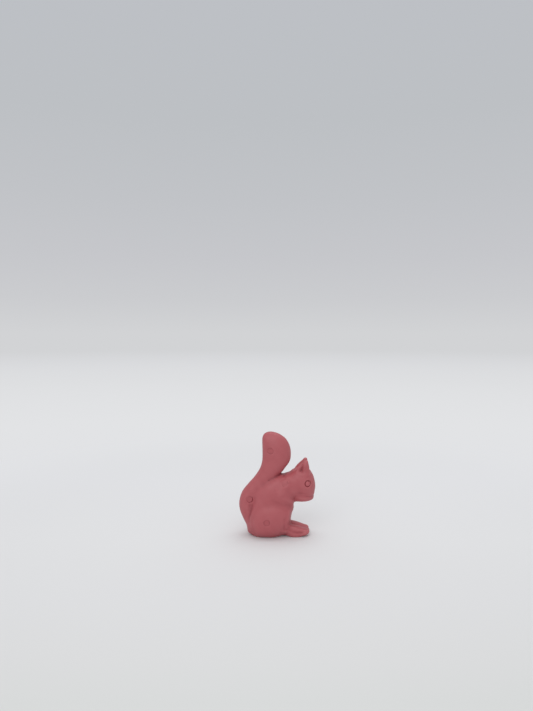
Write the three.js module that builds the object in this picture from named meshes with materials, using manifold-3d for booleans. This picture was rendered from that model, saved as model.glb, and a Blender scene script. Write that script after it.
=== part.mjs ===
// A toy squirrel figure, 32 mm tall. It sits up on its haunches, with its tail up its back.
// It is moulded in one colour, in two hollow halves that meet on the figure's middle plane, y = 0.
// Four pins of the left half plug into sockets of the right half, and the flat rims are glued.
// Millimetres, +Z up. The squirrel faces +X and its right side is -Y.
// The origin is on the table, under the figure's middle.

import * as THREE from "three";
import { mergeVertices } from "three/addons/utils/BufferGeometryUtils.js";
import Module from "manifold-3d";

const wasm = await Module();
wasm.setup();

// The whole figure
const figureHeight = 32;
const figureLength = 23.1;

// Thicknesses and spans from side to side
const tailThickness = 5.6;
const tailRootThickness = 4.8;
const bodyThickness = 10.0;
const shoulderThickness = 8.6;
const headThickness = 7.4;
const chinThickness = 4.8;
const haunchSpan = 11.4;
const haunchThickness = 5.8;
const shankSpan = 10.6;
const shankThickness = 3.0;
const footSpan = 6.8;
const footWidth = 3.2;
const shoulderSpan = 9.4;
const pawSpan = 6.0;
const armThickness = 2.3;
const earSpan = 5.2;
const earThickness = 1.6;
const earTipThickness = 1.0;

// The two mouldings, and the pins that line them up
const wall = 1.2;
const leastHollow = 0.3;
const pinRadius = 0.7;
const pinReach = 1.1;
const pinClearance = 0.08;
const bossWall = 0.55;
const socketEndGap = 0.2;

// The underside is flat where it rests, with a shallow arch between the rump and the toes
const archHeight = 0.45;
const archSpan = 4.6;
const archMiddle = 1.9;

// Small features in the surface
const markRadius = 1.05;
const markDepth = 0.08;
const eyeRadius = 0.8;
const eyeGroove = 0.2;
const earPitWidth = 1.3;
const earPitHeight = 2.2;
const earPitDepth = 0.45;

// Places on the side of the figure, as x and z
const tailPin = drawn(-2.2, 26.3);
const tailRootPin = drawn(-8.4, 11.6);
const shoulderPin = drawn(2.2, 16.7);
const hipPin = drawn(-3.4, 5.4);
const eye = drawn(9.0, 16.4);
const earPit = drawn(7.2, 20.6);
const pins = [tailPin, tailRootPin, shoulderPin, hipPin];

// Longer than the figure in every direction, for blocks and rods that cut right through
const beyond = 3 * (figureHeight + figureLength);

// The outlines are drawn for a figure 32 tall and 23.1 long, and follow the figure's own height and length
function drawn(x, z) {
  return new THREE.Vector2((x * figureLength) / 23.1, (z * figureHeight) / 32);
}

// A rib is a section of a form, seen from the side: its two edges, the y of its middle and half its thickness
const rib = (ax, az, bx, bz, y, depth) => ({ a: drawn(ax, az), b: drawn(bx, bz), y, depth });

// The tail runs up the back from the rump, bends back at the shoulders and ends in a broad, rounded tip
const tail = {
  ribs: [
    rib(-9.1, 2.6, -6.4, 3.4, 0, tailRootThickness * 0.36),
    rib(-10.6, 5.5, -7.1, 6.6, 0, tailRootThickness * 0.44),
    rib(-11.4, 8.2, -7.3, 8.6, 0, tailRootThickness * 0.49),
    rib(-11.45, 10.7, -7.1, 10.0, 0, tailRootThickness * 0.5),
    rib(-10.7, 13.3, -6.4, 11.5, 0, tailRootThickness * 0.5),
    rib(-9.05, 15.5, -5.1, 13.0, 0, tailRootThickness * 0.5),
    rib(-6.9, 17.95, -2.8, 15.2, 0, tailThickness * 0.45),
    rib(-5.25, 20.4, 0.4, 17.9, 0, tailThickness * 0.48),
    rib(-4.5, 22.4, 2.6, 20.9, 0, tailThickness * 0.5),
    rib(-4.38, 24.4, 4.1, 23.6, 0, tailThickness * 0.5),
    rib(-4.4, 26.6, 4.05, 25.8, 0, tailThickness * 0.5),
    rib(-4.45, 28.6, 3.4, 28.1, 0, tailThickness * 0.48),
    rib(-4.35, 30.2, 2.0, 29.9, 0, tailThickness * 0.43),
  ],
  domes: [1.0, 1.8],
  rings: 22,
  sides: 16,
  squareness: 2.3,
};

// The body rises from a flat seat, leans back against the tail and curves over into the shoulders
const torso = {
  ribs: [
    rib(-9.0, 1.5, 3.1, 1.2, 0, bodyThickness * 0.43),
    rib(-9.35, 4.0, 4.1, 3.6, 0, bodyThickness * 0.49),
    rib(-9.3, 7.0, 4.3, 6.2, 0, bodyThickness * 0.5),
    rib(-8.9, 10.6, 4.8, 8.8, 0, shoulderThickness * 0.54),
    rib(-7.6, 13.9, 5.4, 10.4, 0, shoulderThickness * 0.52),
    rib(-5.4, 16.8, 6.5, 11.6, 0, shoulderThickness * 0.5),
    rib(-2.2, 18.7, 7.8, 12.4, 0, shoulderThickness * 0.47),
    rib(2.0, 18.8, 8.8, 13.2, 0, shoulderThickness * 0.44),
    rib(5.4, 19.0, 9.8, 14.6, 0, shoulderThickness * 0.4),
  ],
  domes: [2.2, 0.8],
  rings: 16,
  sides: 20,
  squareness: 2.4,
};

// The head, from the crown down to a square chin
const head = {
  ribs: [
    rib(4.1, 19.75, 10.2, 19.7, 0, headThickness * 0.35),
    rib(2.7, 18.6, 11.1, 18.0, 0, headThickness * 0.46),
    rib(2.7, 15.6, 11.5, 15.3, 0, headThickness * 0.5),
    rib(3.6, 13.4, 11.3, 13.4, 0, headThickness * 0.45),
    rib(4.9, 11.3, 11.1, 11.4, 0, chinThickness * 0.5),
  ],
  domes: [0.7, 0.8],
  rings: 12,
  sides: 20,
  squareness: 2.2,
};

// The folded thigh
const haunch = {
  ribs: [
    rib(-7.6, 1.8, -8.0, 6.4, (haunchSpan - haunchThickness) / 2 - 1.1, haunchThickness * 0.37),
    rib(-5.9, 0, -6.4, 9.2, (haunchSpan - haunchThickness) / 2 - 0.3, haunchThickness * 0.46),
    rib(-2.9, -0.2, -2.6, 10.5, (haunchSpan - haunchThickness) / 2, haunchThickness * 0.5),
    rib(0.3, 0.6, 1.0, 10.2, (haunchSpan - haunchThickness) / 2, haunchThickness * 0.46),
    rib(2.8, 5.0, 3.5, 9.3, (haunchSpan - haunchThickness) / 2 - 0.3, haunchThickness * 0.36),
  ],
  domes: [0.8, 1.2],
  rings: 10,
  sides: 14,
  squareness: 2.1,
};

// The lower leg, from the knee down to the heel
const shank = {
  ribs: [
    rib(1.0, 8.2, 4.3, 7.4, (shankSpan - shankThickness) / 2, shankThickness * 0.44),
    rib(-0.8, 5.4, 2.7, 5.2, (shankSpan - shankThickness) / 2, shankThickness * 0.5),
    rib(-1.0, 2.8, 2.4, 2.6, (shankSpan - shankThickness) / 2 - 0.4, shankThickness * 0.5),
  ],
  domes: [0.8, 2.2],
  rings: 5,
  sides: 12,
  squareness: 2.1,
};

const foot = {
  ribs: [
    rib(0.4, -0.6, 0.6, 3.1, (footSpan - footWidth) / 2, footWidth * 0.46),
    rib(3.4, -0.6, 3.6, 3.45, (footSpan - footWidth) / 2, footWidth * 0.47),
    rib(6.0, -0.5, 6.2, 3.15, (footSpan - footWidth) / 2, footWidth * 0.49),
    rib(8.1, -0.1, 8.4, 2.3, (footSpan - footWidth) / 2, footWidth * 0.5),
  ],
  domes: [1.2, 1.4],
  rings: 6,
  sides: 12,
  squareness: 2.4,
};

// The arm lies close to the body, bent at the elbow, with the paw under the chin
const arm = {
  ribs: [
    rib(0.4, 16.9, 4.2, 16.5, (shoulderSpan - armThickness) / 2 - 0.5, armThickness * 0.45),
    rib(-1.1, 14.2, 2.9, 14.3, (shoulderSpan - armThickness) / 2, armThickness * 0.5),
    rib(-0.9, 11.8, 2.6, 13.3, (shoulderSpan - armThickness) / 2 - 0.1, armThickness * 0.5),
    rib(1.6, 10.7, 3.2, 12.8, (shoulderSpan - armThickness) / 2 - 0.4, armThickness * 0.48),
    rib(4.1, 9.6, 4.9, 11.5, (pawSpan - armThickness) / 2, armThickness * 0.46),
  ],
  domes: [1.0, 0.8],
  rings: 9,
  sides: 12,
  squareness: 2.1,
};

const ear = {
  ribs: [
    rib(4.9, 18.8, 10.0, 19.0, (earSpan - earThickness) / 2, earThickness * 0.55),
    rib(5.6, 20.4, 9.75, 20.3, (earSpan - earThickness) / 2, earThickness * 0.5),
    rib(7.0, 21.9, 9.5, 21.7, (earSpan - earThickness) / 2, (earThickness + earTipThickness) * 0.25),
    rib(8.0, 22.8, 9.2, 22.6, (earSpan - earThickness) / 2, earTipThickness * 0.5),
  ],
  domes: [0.4, 0.7],
  rings: 6,
  sides: 10,
  squareness: 2,
};

// A form is a closed loft over its ribs. Each section is a superellipse, and each end is closed by a dome.
// A section starts half a step round, so that no point lies on the middle plane, where the halves are cut.
// An inset draws the whole form in, as the inside of a wall does, and leaves out the ribs it would close up.
function loft(form, inset = 0) {
  const halfWidth = ({ a, b }) => a.distanceTo(b) / 2;
  const ribs = form.ribs.filter((one) => Math.min(halfWidth(one), one.depth) > inset + leastHollow);
  const drawnIn = (from, to) => from.clone().add(to.clone().sub(from).setLength(inset));
  const edgeA = new THREE.SplineCurve(ribs.map(({ a, b }) => drawnIn(a, b)));
  const edgeB = new THREE.SplineCurve(ribs.map(({ a, b }) => drawnIn(b, a)));
  const side = new THREE.SplineCurve(ribs.map(({ y, depth }) => new THREE.Vector2(y, depth - inset)));
  const middleAt = (t) => edgeA.getPoint(t).add(edgeB.getPoint(t)).multiplyScalar(0.5);

  // A dome's sections, from its pole down to the rib that it closes
  const domeRings = 4;
  const nearEnd = 0.02;
  const domeOver = (t, inner, length) => {
    const out = middleAt(t).sub(middleAt(inner)).setLength(Math.max(length - inset, leastHollow));
    return Array.from({ length: domeRings }, (_, i) => {
      const angle = ((i / domeRings) * Math.PI) / 2;
      return { t, shift: out.clone().multiplyScalar(Math.cos(angle)), scale: Math.sin(angle) };
    });
  };
  const ringAt = (_, i) => ({ t: i / form.rings, shift: new THREE.Vector2(), scale: 1 });
  const sections = [
    ...domeOver(0, nearEnd, form.domes[0]),
    ...Array.from({ length: form.rings + 1 }, ringAt),
    ...domeOver(1, 1 - nearEnd, form.domes[1]).reverse(),
  ];

  const rounded = (value) => Math.sign(value) * Math.abs(value) ** (2 / form.squareness);
  const positions = [];
  for (const { t, shift, scale } of sections) {
    const middle = middleAt(t).add(shift);
    const half = edgeB.getPoint(t).sub(edgeA.getPoint(t)).multiplyScalar(0.5 * scale);
    const { x: y, y: depth } = side.getPoint(t);
    for (let k = 0; k < form.sides; k++) {
      const angle = ((k + 0.5) / form.sides) * 2 * Math.PI;
      const point = middle.clone().addScaledVector(half, rounded(Math.cos(angle)));
      positions.push(point.x, y + depth * scale * rounded(Math.sin(angle)), point.y);
    }
  }
  return solid(new THREE.BufferGeometry()
    .setAttribute("position", new THREE.Float32BufferAttribute(positions, 3))
    .setIndex(gridIndex(sections.length, form.sides)));
}

// Triangles of a tube of rings, each with the same number of points
function gridIndex(rings, sides) {
  const index = [];
  for (let i = 0; i + 1 < rings; i++) {
    for (let k = 0; k < sides; k++) {
      const a = i * sides + k;
      const b = i * sides + ((k + 1) % sides);
      index.push(a, b, b + sides, a, b + sides, a + sides);
    }
  }
  return index;
}

// Vertices nearer than this are one
const sameVertex = 1e-4;

// A closed geometry as a solid for joins and cuts: shared vertices are merged and its faces point out
function solid(geometry) {
  const bare = new THREE.BufferGeometry().setAttribute("position", geometry.getAttribute("position"));
  const merged = mergeVertices(bare.setIndex(geometry.index), sameVertex);
  const build = (order) => {
    const triVerts = [];
    for (let i = 0; i < merged.index.count; i += 3) {
      const corners = order.map((k) => merged.index.getX(i + k));
      if (new Set(corners).size === 3) triVerts.push(...corners);
    }
    const vertProperties = merged.getAttribute("position").array;
    const mesh = new wasm.Mesh({ numProp: 3, vertProperties, triVerts: new Uint32Array(triVerts) });
    return new wasm.Manifold(mesh);
  };
  const made = build([0, 1, 2]);
  return made.volume() > 0 ? made : build([0, 2, 1]);
}

function geometryOf(made) {
  const mesh = made.getMesh();
  return new THREE.BufferGeometry()
    .setAttribute("position", new THREE.BufferAttribute(mesh.vertProperties, 3))
    .setIndex(new THREE.BufferAttribute(mesh.triVerts, 1));
}

const joined = (solids) => solids.reduce((sum, one) => sum.add(one));

// The same form on the other side of the middle plane
const mirrored = (form) => ({ ...form, ribs: form.ribs.map((one) => ({ ...one, y: -one.y })) });
const bothSides = (form) => [form, mirrored(form)];

// A block between two corners
function block(from, to) {
  const size = to.clone().sub(from);
  const middle = from.clone().add(to).multiplyScalar(0.5);
  return solid(new THREE.BoxGeometry(...size).translate(...middle));
}

// A rod along Y, from y0 to y1, round a place on the side of the figure
function rod(at, radius, y0, y1) {
  const rodSides = 20;
  const geometry = new THREE.CylinderGeometry(radius, radius, y1 - y0, rodSides);
  return solid(geometry.translate(at.x, (y0 + y1) / 2, at.y));
}

// All that lies under the sole, which an inset raises to make the floor of the hollow
function belowSole(inset) {
  const radius = ((archSpan / 2) ** 2 + archHeight ** 2) / (2 * archHeight);
  const arch = new THREE.CylinderGeometry(radius + inset, radius + inset, beyond, 60);
  const table = block(new THREE.Vector3(-beyond, -beyond, -beyond), new THREE.Vector3(beyond, beyond, inset));
  return table.add(solid(arch.translate(archMiddle, 0, archHeight - radius)));
}

const outerForms = [tail, torso, head, ...[haunch, shank, foot, arm, ear].flatMap(bothSides)];
const body = joined(outerForms.map((form) => loft(form))).subtract(belowSole(0));

// The hollow is drawn in from the larger forms, with fewer rings and sides.
// Ears, arms, shanks and feet are solid.
const hollowSides = 12;
const coarser = (form) => ({ ...form, rings: Math.ceil((form.rings * 3) / 5), sides: hollowSides });
const hollowForms = [tail, torso, head, ...bothSides(haunch)].map(coarser);
const hollow = joined(hollowForms.map((form) => loft(form, wall))).subtract(belowSole(wall));
const shell = body.subtract(hollow);

// The point and the face where a line along Y, from the right, first meets the surface
const skin = new THREE.Mesh(geometryOf(body), new THREE.MeshBasicMaterial());
function surfaceAt(at) {
  const from = new THREE.Vector3(at.x, -beyond, at.y);
  return new THREE.Raycaster(from, new THREE.Vector3(0, 1, 0)).intersectObject(skin)[0];
}

// A flat round mark is left over each pin, square to the middle plane: sunk where the surface rises over it,
// and proud where the surface falls away
const markLevel = (at) => surfaceAt(at).point.y + markDepth;
const markPads = joined(pins.map((at) => rod(at, markRadius, markLevel(at), 0)));
const markCuts = joined(pins.map((at) => rod(at, markRadius, -beyond, markLevel(at))));

// A turned or egg-shaped cutter, set in the surface with its axis along the surface's normal
function setInSurface(geometry, at) {
  const { point, face } = surfaceAt(at);
  const turn = new THREE.Quaternion().setFromUnitVectors(new THREE.Vector3(0, -1, 0), face.normal);
  return solid(geometry.applyQuaternion(turn).translate(...point));
}

// The eye is a round groove that leaves a low button in its middle
function eyeGrooveCut() {
  const section = [0, 60, 120, 180, 240, 300, 360].map((degrees) => {
    const angle = THREE.MathUtils.degToRad(degrees % 360);
    return new THREE.Vector2(eyeRadius + eyeGroove * Math.cos(angle), eyeGroove * Math.sin(angle));
  });
  return setInSurface(new THREE.LatheGeometry(section, 20), eye);
}

function earPitCut() {
  const egg = new THREE.SphereGeometry(1, 12, 8).scale(earPitWidth / 2, earPitDepth, earPitHeight / 2);
  return setInSurface(egg, earPit);
}

// What both halves share, made for the right side: the shell with its marks, its eye and its ear pit
const rightSpace = block(new THREE.Vector3(-beyond, -beyond, -beyond), new THREE.Vector3(beyond, 0, beyond));
const bossRadius = pinRadius + pinClearance + bossWall;
const bosses = joined(pins.map((at) => rod(at, bossRadius, -beyond, 0))).intersect(body);
const rightShell = shell
  .add(bosses)
  .add(markPads)
  .intersect(rightSpace)
  .subtract(markCuts)
  .subtract(eyeGrooveCut())
  .subtract(earPitCut());

// The right half has a blind socket in each of its bosses
function rightHalf() {
  const sockets = pins.map((at) => rod(at, pinRadius + pinClearance, -pinReach - socketEndGap, wall));
  return geometryOf(rightShell.subtract(joined(sockets)));
}

// The left half is its mirror image, with a pin on each boss instead
function leftHalf() {
  const leftShell = solid(geometryOf(rightShell).scale(1, -1, 1));
  const plugs = pins.map((at) => rod(at, pinRadius, -pinReach, wall));
  return geometryOf(leftShell.add(joined(plugs)));
}

const plastic = new THREE.MeshStandardMaterial({ color: 0xb4666c, roughness: 0.5, metalness: 0 });
const squirrel = new THREE.Group();

function addPiece(name, geometry) {
  const piece = new THREE.Mesh(geometry, plastic);
  piece.name = name;
  squirrel.add(piece);
}

addPiece("right_half", rightHalf());
addPiece("left_half", leftHalf());

export default squirrel;
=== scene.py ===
"""The looks of a toy squirrel figure, 32 mm tall, that sits up on its haunches with its tail up its back.
It is moulded in one dull rose plastic, in two halves that are glued together on the middle plane, y = 0.
The squirrel faces +X and its right side is -Y. Forms are worked out in millimetres, and only the finished
meshes are in the frame's metres."""

import bmesh
import bpy
import numpy as np
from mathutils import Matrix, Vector


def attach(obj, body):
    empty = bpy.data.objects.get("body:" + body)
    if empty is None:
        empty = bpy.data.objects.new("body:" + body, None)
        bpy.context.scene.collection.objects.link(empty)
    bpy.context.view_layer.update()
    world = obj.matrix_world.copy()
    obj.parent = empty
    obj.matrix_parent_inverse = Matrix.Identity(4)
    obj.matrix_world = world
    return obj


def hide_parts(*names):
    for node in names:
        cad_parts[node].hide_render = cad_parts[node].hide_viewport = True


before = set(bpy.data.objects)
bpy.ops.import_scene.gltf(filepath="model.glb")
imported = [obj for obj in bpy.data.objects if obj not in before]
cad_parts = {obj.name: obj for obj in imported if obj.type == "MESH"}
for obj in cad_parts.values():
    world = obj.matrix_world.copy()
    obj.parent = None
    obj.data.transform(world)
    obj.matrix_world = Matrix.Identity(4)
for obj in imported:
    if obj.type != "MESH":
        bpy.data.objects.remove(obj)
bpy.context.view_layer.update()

# The right half is one moulding of rose plastic: the right side of the tail, body and head, with the right
# ear, arm, haunch, shank and foot. The tool was cut from a carved pattern, so the forms run into each other
# in soft fillets, and the eye, the mouth and the creases are pressed into the surface.


def through(values, t):
    """Values of a smooth curve at the parameters t, 0 at its first point and 1 at its last. Between two
    points it is a cubic, whose slope at a point is half the step between that point's two neighbours."""
    values = np.asarray(values, float)
    last = len(values) - 1
    place = np.clip(t, 0, 1) * last
    i = np.minimum(place.astype(int), last - 1)
    u = (place - i).reshape(-1, *[1] * (values.ndim - 1))
    start, end = values[i], values[i + 1]
    slope = (end - values[np.maximum(i - 1, 0)]) / 2
    end_slope = (values[np.minimum(i + 2, last)] - start) / 2
    bend = 3 * (end - start) - 2 * slope - end_slope
    twist = 2 * (start - end) + slope + end_slope
    return start + u * (slope + u * (bend + u * twist))


def loft(thickness, span, squareness, domes, ribs, peak=1, rings=80, sides=64, dome_rings=10):
    """A closed form over its ribs. A rib is the two ends of a section as x, z, x, z, how far its middle lies
    in from the form's own place, and its half depth as a share of the thickness. At the angle a, a section's
    point is its middle plus cos(a) to the power 2 / squareness of the half rib, and sin(a) to that power of
    the half depth sideways. Over each end the sections shrink by a sine while their middle goes out by the
    same angle's cosine, to the power peak, which makes a dome that is round for 1 and flatter for 2."""
    ribs = np.asarray(ribs, float)
    rise = np.linspace(0, np.pi / 2, dome_rings, endpoint=False)
    none, along = 0 * rise, np.linspace(0, 1, rings + 1)
    t = np.concatenate([none, along, none + 1])
    scale = np.concatenate([np.sin(rise), 0 * along + 1, np.sin(rise)[::-1]])[:, None]
    first_dome = np.concatenate([np.cos(rise) ** peak, 0 * along, none])[:, None]
    last_dome = np.concatenate([none, 0 * along, np.cos(rise)[::-1] ** peak])[:, None]
    a, b = through(ribs[:, 0:2], t), through(ribs[:, 2:4], t)
    middle, half = (a + b) / 2, (b - a) / 2 * scale

    def outward(end, inner):
        step = middle[end] - middle[inner]
        return step / np.hypot(*step)

    middle = (middle + first_dome * domes[0] * outward(dome_rings, dome_rings + 2)
              + last_dome * domes[1] * outward(-dome_rings - 1, -dome_rings - 3))
    angle = np.linspace(0, 2 * np.pi, sides, endpoint=False) + np.pi / sides
    cosine = np.sign(np.cos(angle)) * np.abs(np.cos(angle)) ** (2 / squareness)
    sine = np.sign(np.sin(angle)) * np.abs(np.sin(angle)) ** (2 / squareness)
    place = ((span - thickness) / 2 - through(ribs[:, 4], t))[:, None]
    depth = (thickness * through(ribs[:, 5], t))[:, None] * scale
    x = middle[:, :1] + half[:, :1] * cosine
    y = -place + depth * sine
    z = middle[:, 1:] + half[:, 1:] * cosine
    points = np.stack([x, y, z], axis=-1).reshape(-1, 3)
    row, column = np.meshgrid(np.arange(len(t) - 1), np.arange(sides), indexing="ij")
    beside = (column + 1) % sides
    corners = [row * sides + column, row * sides + beside,
               (row + 1) * sides + beside, (row + 1) * sides + column]
    return points, np.stack(corners, axis=-1).reshape(-1, 4)


tail = loft(5.6, 5.6, 2.05, (1.0, 0.85), peak=2, ribs=[
    (-9.3, 2.6, -6.4, 3.4, 0, 0.31),
    (-10.72, 5.45, -7.1, 6.6, 0, 0.38),
    (-11.66, 8.2, -7.3, 8.6, 0, 0.42),
    (-11.69, 10.7, -7.1, 10.0, 0, 0.43),
    (-10.8, 13.35, -6.4, 11.5, 0, 0.43),
    (-9.12, 15.55, -5.1, 13.0, 0, 0.43),
    (-6.95, 18.0, -2.8, 15.2, 0, 0.45),
    (-5.4, 20.45, 0.2, 17.9, 0, 0.48),
    (-4.78, 22.4, 2.55, 20.9, 0, 0.5),
    (-4.66, 23.5, 3.58, 22.35, 0, 0.5),
    (-4.62, 24.7, 4.07, 23.8, 0, 0.5),
    (-4.64, 26.6, 4.08, 26.1, 0, 0.49),
    (-4.7, 28.6, 3.52, 28.1, 0, 0.45),
    (-4.6, 30.2, 2.45, 29.75, 0, 0.35),
    (-4.02, 31.2, 0.9, 30.92, 0, 0.21),
])
torso = loft(10.0, 10.0, 2.4, (2.2, 0.8), [
    (-9.25, 1.5, 3.1, 1.2, 0, 0.4),
    (-9.55, 4.0, 3.95, 3.6, 0, 0.49),
    (-9.4, 7.0, 4.35, 6.2, 0, 0.5),
    (-8.9, 10.6, 5.05, 8.6, 0, 0.464),
    (-7.4, 13.6, 4.8, 10.1, 0, 0.447),
    (-5.0, 16.2, 5.15, 12.0, 0, 0.43),
    (-1.8, 18.1, 7.6, 12.7, 0, 0.404),
    (2.0, 18.9, 8.8, 13.4, 0, 0.378),
    (5.4, 19.3, 9.8, 14.6, 0, 0.344),
])
head = loft(7.4, 7.4, 2.2, (0.7, 0.75), [
    (4.3, 19.75, 10.2, 19.7, 0, 0.35),
    (2.9, 18.3, 11.12, 18.0, 0, 0.46),
    (2.7, 15.6, 11.65, 15.3, 0, 0.5),
    (3.6, 13.4, 11.42, 13.4, 0, 0.45),
    (4.3, 11.05, 11.1, 11.35, 0, 0.38),
])
# The muzzle narrows towards the nose
muzzle = np.clip((head[0][:, :1] - 9.6) / 2.4, 0, 1)
head[0][:, 1:2] *= 1 - 0.15 * muzzle ** 2 * (3 - 2 * muzzle)
haunch = loft(5.8, 11.4, 2.1, (0.8, 1.2), [
    (-7.6, 2.0, -8.0, 6.4, 1.1, 0.37),
    (-5.9, 0.5, -6.4, 9.6, 0.3, 0.46),
    (-2.9, 0.3, -2.6, 11.2, 0, 0.5),
    (0.3, 0.9, 0.9, 10.8, 0, 0.46),
    (2.4, 3.0, 3.2, 9.4, 0.35, 0.38),
])
shank = loft(3.0, 10.4, 2.1, (0.5, 2.2), [
    (0.9, 7.6, 3.8, 6.8, 0.5, 0.44),
    (-0.8, 5.4, 3.5, 5.1, 0.4, 0.5),
    (-1.0, 2.8, 3.4, 2.6, 0.9, 0.48),
])
foot = loft(3.4, 6.8, 2.3, (1.2, 1.48), [
    (0.9, 0.4, 1.1, 2.9, -0.2, 0.42),
    (3.4, -0.3, 3.6, 3.5, -0.2, 0.5),
    (6.0, -0.5, 6.25, 3.15, 0, 0.5),
    (7.7, 0.2, 8.7, 2.2, 0, 0.48),
])
# A low web joins the feet, so that they end in one round front
web = loft(2.9, 2.9, 2.3, (0.8, 1.6), [
    (3.6, 0.3, 3.8, 2.3, 0, 0.45),
    (6.0, 0.1, 6.2, 2.15, 0, 0.5),
    (7.9, 0.3, 8.6, 2.05, 0, 0.5),
])
arm = loft(2.3, 9.4, 2.1, (1.0, 0.6), [
    (0.4, 16.9, 4.2, 16.5, 0.5, 0.45),
    (-1.1, 14.2, 2.9, 14.3, 0, 0.5),
    (-0.9, 11.8, 2.6, 13.3, 0.1, 0.5),
    (1.6, 10.7, 3.2, 12.8, 0.4, 0.48),
    (3.4, 9.7, 4.8, 11.2, 1.4, 0.46),
    (3.5, 9.1, 4.8, 9.5, 1.9, 0.45),
])
ear = loft(1.6, 5.2, 2.0, (0.4, 0.7), [
    (4.8, 18.9, 10.03, 19.0, -0.1, 0.8),
    (5.55, 20.45, 9.76, 20.3, 0, 0.64),
    (6.95, 21.95, 9.58, 21.7, 0, 0.5),
    (7.95, 22.82, 9.33, 22.65, 0, 0.38),
])


def mirrored(points, faces):
    """The same form on the other side of the middle plane, with its faces turned to point out again."""
    return points * (1, -1, 1), faces[:, ::-1]


def together(forms):
    """Several meshes as one."""
    starts = np.cumsum([0] + [len(points) for points, _ in forms])
    faces = [form_faces + start for (_, form_faces), start in zip(forms, starts)]
    return np.concatenate([points for points, _ in forms]), np.concatenate(faces)


def column(items, name, width, kind=float):
    """One property of a mesh's points, edges or loops, as an array with that many columns."""
    values = np.empty(width * len(items), kind)
    items.foreach_get(name, values)
    return values.reshape(-1, width)


def changed(mesh, kind, **settings):
    """The points, quads and edges of a mesh after one of Blender's modifiers."""
    lump = bpy.data.objects.new("lump", mesh)
    bpy.context.collection.objects.link(lump)
    modifier = lump.modifiers.new("change", kind)
    for name, value in settings.items():
        setattr(modifier, name, value)
    result = lump.evaluated_get(bpy.context.evaluated_depsgraph_get()).data
    points = column(result.vertices, "co", 3)
    quads = column(result.loops, "vertex_index", 1, int).reshape(-1, 4)
    edges = column(result.edges, "vertices", 2, int)
    bpy.data.objects.remove(lump)
    bpy.data.meshes.remove(mesh)
    return points, quads, edges


def mesh_of(points, faces):
    """A new mesh of points and faces."""
    mesh = bpy.data.meshes.new("work")
    mesh.from_pydata(points, [], faces.tolist())
    return mesh


def spread(values, index, count):
    """Sums rows of values into count rows, as the index says."""
    return np.stack([np.bincount(index, part, count) for part in values.T], axis=1)


def normals(points, quads):
    """At each point, the sum of its quads' normals, which are the cross products of their diagonals."""
    cross = np.cross(points[quads[:, 2]] - points[quads[:, 0]], points[quads[:, 3]] - points[quads[:, 1]])
    total = spread(np.repeat(cross, 4, axis=0), quads.ravel(), len(points))
    return total / np.linalg.norm(total, axis=1, keepdims=True)


def to_neighbours(points, edges):
    """From each point to the mean of the points at the other ends of its edges."""
    here, there = edges.ravel(), edges[:, ::-1].ravel()
    total = spread(points[there], here, len(points))
    return total / np.bincount(here, minlength=len(points))[:, None] - points


def smoothed(points, edges, rounds):
    """Evens out the voxels' steps: each round is a step towards the neighbours, then a slightly larger one
    away from them, so that the form doesn't shrink."""
    for _ in range(rounds):
        points = points + 0.5 * to_neighbours(points, edges)
        points = points - 0.52 * to_neighbours(points, edges)
    return points


def off_line(points, line):
    """How far points are from a line through places on the side of the figure, seen from the side, and the
    share of the line's stretches that lies before the nearest place on it."""
    flat = points[:, [0, 2]]
    distance = np.full(len(points), np.inf)
    share = np.zeros(len(points))
    for i, (start, end) in enumerate(zip(line, line[1:])):
        start, step = np.asarray(start), np.subtract(end, start)
        along = np.clip((flat - start) @ step / (step @ step), 0, 1)
        away = np.hypot(*(flat - start - along[:, None] * step).T)
        nearer = away < distance
        distance[nearer] = away[nearer]
        share[nearer] = (i + along[nearer]) / (len(line) - 1)
    return distance, share


def bell(distance, width):
    """1 at no distance, and less with its square: 0.37 at the width."""
    return np.exp(-(distance / width) ** 2)


def step_up(value, low, high):
    """0 below low and 1 above high, with a smooth S between them."""
    u = np.clip((value - low) / (high - low), 0, 1)
    return u * u * (3 - 2 * u)


# The creases that stay sharp, seen from the side: from the nape down along the tail, between the feet, at
# the foot of the ear, at the throat and under the arm
tail_crease = [(1.8, 19.8), (-0.2, 18.7), (-2.2, 17.6), (-4.6, 15.8), (-6.8, 13.0), (-7.8, 10.6),
               (-8.25, 8.5), (-8.7, 6.0), (-8.9, 2.0)]
foot_crease = [(3.2, 4.0), (6.0, 3.4), (9.0, 1.8)]
ear_crease = [(5.0, 19.6), (9.9, 19.6)]
throat = [(4.6, 9.9), (5.3, 10.5), (7.0, 10.5)]
under_arm = [(-0.6, 11.4), (1.4, 10.5), (3.1, 9.9), (4.6, 9.5)]

# The forms are joined as if they were clay, in voxels that are smaller than any of their details
voxel = 0.24
paired = [haunch, shank, foot, arm, ear]
carved = together([tail, torso, head, web, *paired, *[mirrored(*form) for form in paired]])
points, quads, edges = changed(mesh_of(*carved), "REMESH", mode="VOXEL", voxel_size=voxel)
points = smoothed(points, edges, rounds=6)

# Clay goes into the creases: a point that lies below the mean of its neighbours rises along its normal, and
# less so where a crease stays sharp
clay_rounds = 80
clay_step = 0.9
tail_distance, tail_share = off_line(points, tail_crease)
fillet = 1 - through([0.95, 0.85, 0.7, 0.5, 0.4, 0.5, 0.5, 0.5, 0.4], tail_share) * bell(tail_distance, 1.1)
fillet *= 1 - 0.6 * bell(off_line(points, foot_crease)[0], 0.9)
fillet *= 1 - 0.6 * bell(off_line(points, ear_crease)[0], 0.8)
fillet *= 1 - 0.4 * bell(off_line(points, throat)[0], 0.7)
fillet *= 1 - 0.6 * bell(off_line(points, under_arm)[0], 0.6)
for _ in range(clay_rounds):
    up = normals(points, quads)
    below = (to_neighbours(points, edges) * up).sum(axis=1)
    points += (clay_step * fillet * np.maximum(below, 0))[:, None] * up
points = smoothed(points, edges, rounds=3)

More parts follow.
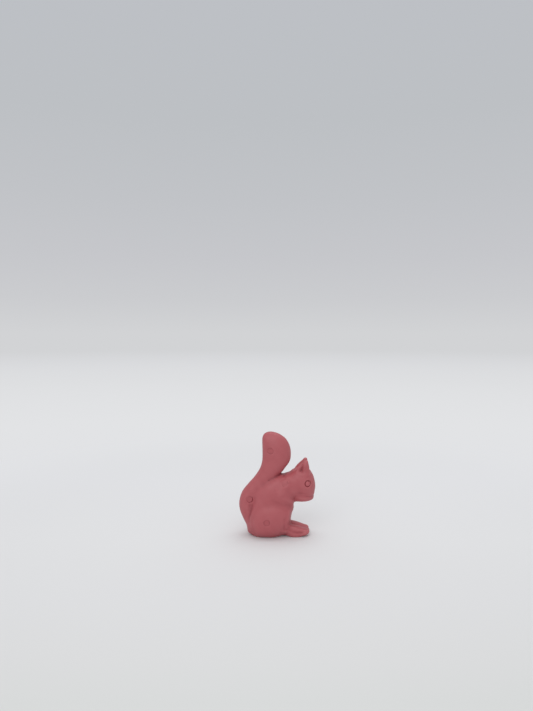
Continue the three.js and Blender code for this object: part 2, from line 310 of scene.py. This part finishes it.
# Near the floor the form draws in between the haunch and the foot, and at the back of the rump
low = 1 - step_up(points[:, 2], 0.0, 2.4)
drawn_in = 0.3 * bell(points[:, 0] - 2.2, 1.8) + 0.3 * step_up(-points[:, 0], 6.0, 9.0)
points[:, 1] *= 1 - low * drawn_in

# The underside is flat where it rests. It rises in a shallow arch between the rump and the toes, and at the
# back of the rump. Its edge is rounded: within the edge's height above or below the sole, the height is a
# square of the distance.
edge = 0.12
arch_height = 0.3
rear_rise = 0.3
sole = arch_height * bell(points[:, 0] - 2.0, 1.9)
sole += rear_rise * step_up(-points[:, 0], 6.2, 8.8)
above = points[:, 2] - sole
points[:, 2] = sole + np.where(above > edge, above, np.maximum(above + edge, 0) ** 2 / (4 * edge))

# The points beside the middle plane are drawn onto it, and the form is cut there. Its right side is refined
# for the small features.
drawn_reach = 0.07
points[np.abs(points[:, 1]) < drawn_reach, 1] = 0
work = bmesh.new()
work.from_mesh(mesh_of(points, quads))
bmesh.ops.bisect_plane(work, geom=[*work.verts, *work.edges, *work.faces], dist=1e-5,
                       plane_co=(0, 0, 0), plane_no=(0, 1, 0), clear_outer=True)
mesh = bpy.data.meshes.new("work")
work.to_mesh(mesh)
work.free()
points, quads, edges = changed(mesh, "SUBSURF", levels=1, render_levels=1)

# Places and lines on the side of the figure, as x and z
notch = (1.9, 19.0)
eye = (9.16, 16.53)
ear_pit = (7.1, 20.5)
mouth = [(11.9, 12.35), (10.6, 12.4), (9.2, 12.5), (7.6, 12.7), (5.8, 13.0)]
mark_radius = 1.0
marks = {"tail tip": (-2.2, 26.3), "tail root": (-8.5, 11.45), "shoulder": (2.2, 16.7), "hip": (-3.3, 5.3)}
mark_sinks = {"tail tip": 0.14, "tail root": 0.08, "shoulder": 0.11, "hip": 0.12}


def off_place(points, place):
    """How far points are from a place on the side of the figure, seen from the side."""
    return np.hypot(points[:, 0] - place[0], points[:, 2] - place[1])


def refined(work, wanted):
    """Halves the edges between wanted points, and leaves triangles where finer quads meet coarser ones."""
    work.verts.index_update()
    edges = [edge for edge in work.edges if wanted[edge.verts[0].index] and wanted[edge.verts[1].index]]
    bmesh.ops.subdivide_edges(work, edges=edges, cuts=1, use_grid_fill=True)
    bmesh.ops.triangulate(work, faces=[face for face in work.faces if len(face.verts) > 4])


work = bmesh.new()
work.from_mesh(mesh_of(points, quads))
outside = points[:, 1] < -0.3
wanted = outside & (off_place(points, eye) < 1.3)
wanted |= outside & (off_place(points, ear_pit) < 1.9)
for mark in marks.values():
    distance = off_place(points, mark)
    wanted |= outside & (distance > mark_radius - 0.3) & (distance < mark_radius + 0.3)
wanted |= off_line(points, mouth)[0] < 0.45
refined(work, wanted)
# Two rows of points beside the middle plane carry the fine line of the seam
seam_rows = [0.05, 0.11]
for row in seam_rows:
    bmesh.ops.bisect_plane(work, geom=[*work.verts, *work.edges, *work.faces], dist=0.01,
                           plane_co=(0, -row, 0), plane_no=(0, 1, 0))
mesh = bpy.data.meshes.new("right_half_moulding")
work.to_mesh(mesh)
work.free()
points = column(mesh.vertices, "co", 3)
edges = column(mesh.edges, "vertices", 2, int)
up = column(mesh.vertices, "normal", 3)
outward = step_up(-up[:, 1], 0.1, 0.4)

# The creases that stay sharp are cut deeper where the surface is already hollow, and along the lower part of
# the tail. The cut is evened out, so that no single point of it lies deepest.
dish_rounds = 60
dish_depth = 0.15
wide = points
for _ in range(dish_rounds):
    wide = wide + 0.6 * to_neighbours(wide, edges)
dish = np.clip(((wide - points) * up).sum(axis=1) / dish_depth, 0, 1)
distance, share = off_line(points, tail_crease)
wide_by = through([1.1, 1.1, 1.0, 0.9, 0.9, 1.15, 0.7, 0.4, 0.4], share)
down = through([0.6, 0.35, 0.2, 0.1, 0.0, 0.2, 0.2, 0.1, 0.0], share) * dish * bell(distance, wide_by)
down += through([0.0, 0.0, 0.0, 0.0, 0.0, 0.5, 0.45, 0.2, 0.0], share) * bell(distance, wide_by)
down += 0.2 * dish * bell(off_line(points, under_arm)[0], 0.8)
for _ in range(3):
    down += 0.5 * to_neighbours(down[:, None], edges)[:, 0]
upper_crease = through([1.0, 1.0, 1.0, 0.5, 0.0, 0.0, 0.0, 0.0, 0.0], share) * bell(distance, 0.7)

# Where the tail leaves the nape there is a small round notch
down += 0.25 * step_up(up[:, 2], 0.2, 0.7) * bell(off_place(points, notch), 0.8)

# The eye is a round groove with a low button in it
distance = off_place(points, eye)
down += outward * (0.3 * bell(distance - 0.87, 0.17) - 0.1 * np.maximum(1 - (distance / 0.7) ** 2, 0))

# The ear is dished behind its rim, and the dish ends in a pit that narrows towards the tip
tip_way = np.array((0.2, 0.98))
from_pit = points[:, [0, 2]] - ear_pit
along, across = from_pit @ tip_way, from_pit @ (tip_way[1], -tip_way[0])
pit_length = np.where(along > 0, 1.3, 0.8)
down += outward * 0.85 * bell(along, pit_length) * bell(across, 0.9 - 0.35 * np.clip(along, -1, 1.3))
down += outward * 0.14 * bell(along - 1.0, 1.4) * bell(across, 0.75)

# A faint upright hollow parts the haunch from the shank
shank_edge = [(1.9, 6.2), (1.9, 2.8)]
down += 0.07 * outward * bell(off_line(points, shank_edge)[0], 0.45)

# The mouth is a groove that runs round the muzzle and fades into the cheek. The jaw swells a little below it.
distance, share = off_line(points, mouth)
down += through([0.12, 0.12, 0.1, 0.06, 0], share) * bell(distance, 0.28)
from_mouth = points[:, 2] - np.interp(-points[:, 0], *np.transpose(mouth) * ((-1,), (1,)))
jaw = step_up(points[:, 0], 4.8, 7.0) * (1 - step_up(points[:, 0], 8.5, 10.5)) * outward
down -= jaw * (0.14 * bell(from_mouth + 0.9, 0.5) - 0.08 * bell(from_mouth - 0.7, 0.6))

# Along the outer side of the foot runs a shallow hollow, with a ridge above it
foot_hollow = [(2.8, 2.6), (4.6, 1.8), (5.9, 1.5), (7.3, 1.6), (8.2, 2.0)]
foot_ridge = [(3.4, 3.6), (4.6, 3.0), (6.3, 2.35), (7.8, 2.1)]
distance, share = off_line(points, foot_hollow)
down += through([0.08, 0.2, 0.22, 0.18, 0.0], share) * outward * bell(distance, 0.62)
distance, share = off_line(points, foot_ridge)
down -= through([0.05, 0.14, 0.14, 0.0], share) * outward * bell(distance, 0.35)

# The two halves meet in a fine line
seam_depth = 0.045
down += seam_depth * bell(points[:, 1], 0.07)

# No surface of a small moulding is quite even. It rises and falls in a few long, faint waves.
wave_height = 0.012
for x, z, y, phase in [(1.1, 0.5, 0.3, 0), (-0.6, 1.3, 0.4, 2), (0.9, -1.0, 0.8, 4), (1.9, 1.6, -0.7, 1)]:
    wave = np.sin(points @ (x, y, z) + phase)
    down += wave_height * wave * step_up(-points[:, 1], 0, 1.5)

# The upper crease is smoothed. The rim stays on the middle plane, and no point goes past it or below the
# floor.
rim = points[:, 1] > -1e-4
up[rim, 1] = 0
points -= down[:, None] * up
for _ in range(6):
    points += (0.4 * upper_crease)[:, None] * to_neighbours(points, edges)
points[:, 1] = np.where(rim, 0, np.minimum(points[:, 1], -0.001))
points[:, 2] = np.maximum(points[:, 2], 0)

# A flat round mark is left by each pin that pushed the moulding out of its tool. It lies a little below
# the plane through the surface round it. The one at the tail's root cuts into the body, so its plane is that
# of the tail's surface behind its middle, and a groove parts it from the body in front of it and below.
for name, mark in marks.items():
    distance = off_place(points, mark)
    round_it = (distance < mark_radius) & (outward > 0.3)
    forward, rise = points[:, 0] - mark[0], points[:, 2] - mark[1]
    slope = np.stack([forward, rise, 0 * distance + 1], axis=1)
    if name == "tail root":
        round_it &= forward < 0
    plane = slope @ np.linalg.lstsq(slope[round_it], points[round_it, 1], rcond=None)[0]
    inside = (1 - step_up(distance, mark_radius - 0.04, mark_radius + 0.06)) * (outward > 0)
    points[:, 1] += inside * (plane + mark_sinks[name] - points[:, 1])
    if name == "tail root":
        lower_front = step_up(0.8 * forward - 0.6 * rise, 0, 0.7)
        points[:, 1] += 0.15 * outward * lower_front * bell(distance - mark_radius, 0.17)

# Where the surface lies below or above its surroundings, which a wider smoothing shows. The plastic's painted
# shade and painted highlight follow it.
hollow_rounds = 30
hollow_depth = 0.06
wide = points
for _ in range(hollow_rounds):
    wide = wide + 0.6 * to_neighbours(wide, edges)
hollow = np.clip(((wide - points) * up).sum(axis=1) / hollow_depth, -1, 1)
mesh.attributes.new("hollow", "FLOAT", "POINT").data.foreach_set("value", hollow)
mesh.vertices.foreach_set("co", 0.001 * points.ravel())


def moulding(name, mesh, node):
    """Closes a half on the middle plane, with a sharp edge round it, and puts it in place of its CAD node."""
    work = bmesh.new()
    work.from_mesh(mesh)
    rim = [edge for edge in work.edges if edge.is_boundary]
    bmesh.ops.triangle_fill(work, edges=rim, use_beauty=False, use_dissolve=False)
    bmesh.ops.recalc_face_normals(work, faces=work.faces)
    for face in work.faces:
        face.smooth = True
    for edge in rim:
        edge.smooth = False
    work.to_mesh(mesh)
    work.free()
    piece = bpy.data.objects.new(name, mesh)
    bpy.context.collection.objects.link(piece)
    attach(piece, "root")
    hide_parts(node)
    return piece


left_mesh = mesh.copy()
right = moulding("right_half_moulding", mesh, "right_half")


class Socket:
    """An output in a node tree. Arithmetic on it adds Math nodes, and node() adds any other."""

    def __init__(self, tree, output=None):
        self.tree = tree
        self.output = output

    def node(self, kind, settings, inputs, result=0):
        """One output of a new node, whose settings are made before its inputs get values or links."""
        new = self.tree.nodes.new(kind)
        for name, value in settings.items():
            if name == "stops":
                stops = new.color_ramp.elements
                for i, (place, shade) in enumerate(value):
                    stop = stops[i] if i < 2 else stops.new(place)
                    stop.position = place
                    stop.color = shade
            else:
                setattr(new, name, value)
        for name, value in inputs.items():
            if isinstance(value, Socket):
                self.tree.links.new(value.output, new.inputs[name])
            else:
                new.inputs[name].default_value = value
        return Socket(self.tree, new.outputs[result])

    def finish(self, kind):
        """Makes this the surface of a material or a world."""
        self.tree.links.new(self.output, self.tree.nodes.new(kind).inputs["Surface"])

    def math(self, operation, *values):
        return self.node("ShaderNodeMath", {"operation": operation}, dict(enumerate(values)))

    def __add__(self, other):
        return self.math("ADD", self, other)

    def __sub__(self, other):
        return self.math("SUBTRACT", self, other)

    def __rsub__(self, other):
        return self.math("SUBTRACT", other, self)

    def __mul__(self, other):
        return self.math("MULTIPLY", self, other)

    def __truediv__(self, other):
        return self.math("DIVIDE", self, other)

    __radd__ = __add__
    __rmul__ = __mul__


def nodes_of(owner):
    """The start of an expression in a material's or a world's empty node tree."""
    owner.use_nodes = True
    owner.node_tree.nodes.clear()
    return Socket(owner.node_tree)


def screen(*parts):
    """A screen colour, each part from 0 to 255, as the linear colour that a node takes."""
    part = np.asarray(parts) / 255
    linear = np.where(part > 0.04045, ((part + 0.055) / 1.055) ** 2.4, part / 12.92)
    return (*linear.tolist(), 1.0)


# The plastic is satin, with a faint cloudy change of colour and gloss and a very fine grain. Painted shade
# darkens it in the hollows, and a faint painted highlight makes it a little paler on the ridges.
plastic = bpy.data.materials.new("rose_plastic")
start = nodes_of(plastic)


def mixed(factor, a, b):
    """A colour between two, by a factor."""
    return start.node("ShaderNodeMix", {"data_type": "RGBA"}, {0: factor, 6: a, 7: b}, 2)


at = start.node("ShaderNodeTexCoord", {}, {}, "Object")
cloud = start.node("ShaderNodeTexNoise", {}, {"Vector": at, "Scale": 260.0, "Detail": 3.0})
grain = start.node("ShaderNodeTexNoise", {}, {"Vector": at, "Scale": 2600.0, "Detail": 3.0})
hollow = start.node("ShaderNodeAttribute", {"attribute_name": "hollow"}, {}, "Fac")
painted_shade = hollow.math("MAXIMUM", hollow, 0.0)
painted_highlight = hollow.math("MAXIMUM", 0.0 - hollow, 0.0)
tint = mixed(cloud, screen(166, 78, 84), screen(176, 88, 94))
# Painted shade: the hollows are darkened towards a deep red
tint = mixed(painted_shade * 0.75, tint, screen(124, 38, 48))
# Painted highlight: the ridges are made a little paler
tint = mixed(painted_highlight * 0.25, tint, screen(200, 122, 126))
bump = start.node("ShaderNodeBump", {}, {"Strength": 0.25, "Distance": 0.00004, "Height": grain})
satin = start.node("ShaderNodeBsdfPrincipled", {}, {
    "Base Color": tint,
    "Roughness": 0.42 + 0.12 * cloud,
    "Normal": bump,
})
satin.finish("ShaderNodeOutputMaterial")
right.data.materials.append(plastic)

# The left half comes from the other side of the same tool, so it is the right half's mirror image outside.
# It is glued to the right half on their flat rims.
left_work = bmesh.new()
left_work.from_mesh(left_mesh)
bmesh.ops.scale(left_work, verts=left_work.verts, vec=(1, -1, 1))
bmesh.ops.reverse_faces(left_work, faces=left_work.faces)
left_work.to_mesh(left_mesh)
left_work.free()
left_mesh.name = "left_half_moulding"
left = moulding("left_half_moulding", left_mesh, "left_half")
left.data.materials.append(plastic)

# The figure stands on a sheet of pale paper, under an evenly pale sky. The sheet's colour carries a painted
# pool of
# light: it is a little brighter under and behind the figure than in front of it, and painted shade greys it
# far away.
floor_reach = 3.0
floor_mesh = bpy.data.meshes.new("floor")
turn = np.linspace(0, 2 * np.pi, 96, endpoint=False)
ring = floor_reach * np.stack([np.cos(turn), np.sin(turn), 0 * turn], axis=1)
floor_mesh.from_pydata(ring, [], [range(len(turn))])
floor = bpy.data.objects.new("floor", floor_mesh)
bpy.context.collection.objects.link(floor)

paper = bpy.data.materials.new("pale_paper")
start = nodes_of(paper)
at = start.node("ShaderNodeTexCoord", {}, {}, "Object")
parts = {name: start.node("ShaderNodeSeparateXYZ", {}, {"Vector": at}, name) for name in "XY"}


def banded(value, low, high, shades):
    """A colour by a value between low and high: the shades are pairs of a value and a screen colour."""
    stops = [((place - low) / (high - low), screen(*shade)) for place, shade in shades]
    return start.node("ShaderNodeValToRGB", {"stops": stops}, {"Fac": (value - low) / (high - low)})


def eased(value, low, high):
    """0 below low and 1 above high, with a smooth S between them."""
    limits = {"Value": value, "From Min": low, "From Max": high}
    return start.node("ShaderNodeMapRange", {"interpolation_type": "SMOOTHSTEP"}, limits)


# Painted light: near the figure the paper is paler behind it and darker in front of it
near = banded(parts["Y"], -0.1, 0.3, [(-0.076, (212, 214, 214)), (-0.064, (215, 216, 217)),
                                      (-0.041, (218, 219, 221)), (-0.005, (222, 223, 225)),
                                      (0.06, (225, 226, 229)), (0.215, (226, 227, 229))])
away = start.math("SQRT", parts["X"] * parts["X"] + parts["Y"] * parts["Y"])
behind = 0.5 * (away + parts["Y"])
# Painted light and shade: farther off the paper brightens, then greys into the distance
far = banded(behind, 0.0, 1.5, [(0.0, (217, 218, 218)), (0.03, (222, 223, 225)), (0.1, (226, 227, 229)),
                                (0.215, (226, 227, 229)), (0.535, (222, 223, 225)), (1.05, (220, 221, 224))])
sheet = mixed(eased(away, 0.1, 0.3), near, far)
# Painted shade: far away the paper turns grey
sheet = mixed(eased(away, 0.4, 1.9), sheet, screen(210, 211, 213))
seen = start.node("ShaderNodeLightPath", {}, {}, "Is Camera Ray")
lit = start.node("ShaderNodeBsdfDiffuse", {}, {"Color": sheet})
flat = start.node("ShaderNodeEmission", {}, {"Color": sheet})
# A little way from the figure, the camera sees the sheet's painted light as an unlit glow
factor = seen * eased(away, 0.06, 0.16)
start.node("ShaderNodeMixShader", {}, {0: factor, 1: lit, 2: flat}).finish("ShaderNodeOutputMaterial")
floor_mesh.materials.append(paper)

# The sky lights the figure evenly from all sides, and to the camera it is the pale grey backdrop, which
# painted shade darkens upwards. Its colours are set by the height of the direction, as a sine.
world = bpy.data.worlds.new("pale_sky")
bpy.context.scene.world = world
start = nodes_of(world)
sky_light = 0.67
way = start.node("ShaderNodeTexCoord", {}, {}, "Generated")
height = start.node("ShaderNodeSeparateXYZ", {}, {"Vector": way}, "Z")
# Painted shade: the backdrop greys from the horizon upwards
backdrop = banded(height, 0.0, 1.0, [(0.0, (210, 211, 213)), (0.061, (203, 204, 207)),
                                     (0.134, (198, 199, 203)), (0.238, (193, 195, 199)),
                                     (0.364, (189, 192, 196)), (0.512, (189, 192, 197))])
path = start.node("ShaderNodeLightPath", {}, {}, "Is Camera Ray")
glossy = start.node("ShaderNodeLightPath", {}, {}, "Is Glossy Ray")
even = start.node("ShaderNodeBackground", {}, {"Color": (1, 1, 1, 1), "Strength": sky_light})
shown = start.node("ShaderNodeBackground", {}, {"Color": backdrop, "Strength": 1.0})
start.node("ShaderNodeMixShader", {}, {0: path + glossy, 1: even, 2: shown}).finish("ShaderNodeOutputWorld")


# Two square softboxes add to the even light of the sky. One hangs above the figure and a little behind it,
# and the other stands in front of it, to the left.
figure_middle = Vector((0, 0, 0.016))


def softbox(name, place, size, power):
    """A square lamp that faces the figure's middle."""
    lamp = bpy.data.lights.new(name, "AREA")
    lamp.size = size
    lamp.energy = power
    box = bpy.data.objects.new(name, lamp)
    box.location = place
    box.rotation_euler = (figure_middle - Vector(place)).to_track_quat("-Z", "Y").to_euler()
    bpy.context.collection.objects.link(box)


softbox("overhead_softbox", place=(0.05, 0.06, 0.38), size=0.3, power=0.4)
softbox("front_softbox", place=(-0.08, -0.3, 0.25), size=0.3, power=0.4)

# The camera looks down on the figure a little, from a hand's breadth and a half away. Its position and tilt
# come from the photograph's perspective, and its lens from the height and the focus of the view, in pixels.
view_height = 711
view_focus = 534
tilt_down = 2.45
camera_data = bpy.data.cameras.new("camera")
camera_data.lens = camera_data.sensor_width * view_focus / view_height
camera_data.clip_start = 0.001
camera_data.clip_end = 20
camera = bpy.data.objects.new("camera", camera_data)
camera.location = (-0.003368, -0.162487, 0.062062)
camera.rotation_euler = (np.radians(90 - tilt_down), 0, 0)
bpy.context.collection.objects.link(camera)
bpy.context.scene.camera = camera
bpy.context.scene.view_settings.view_transform = "Standard"
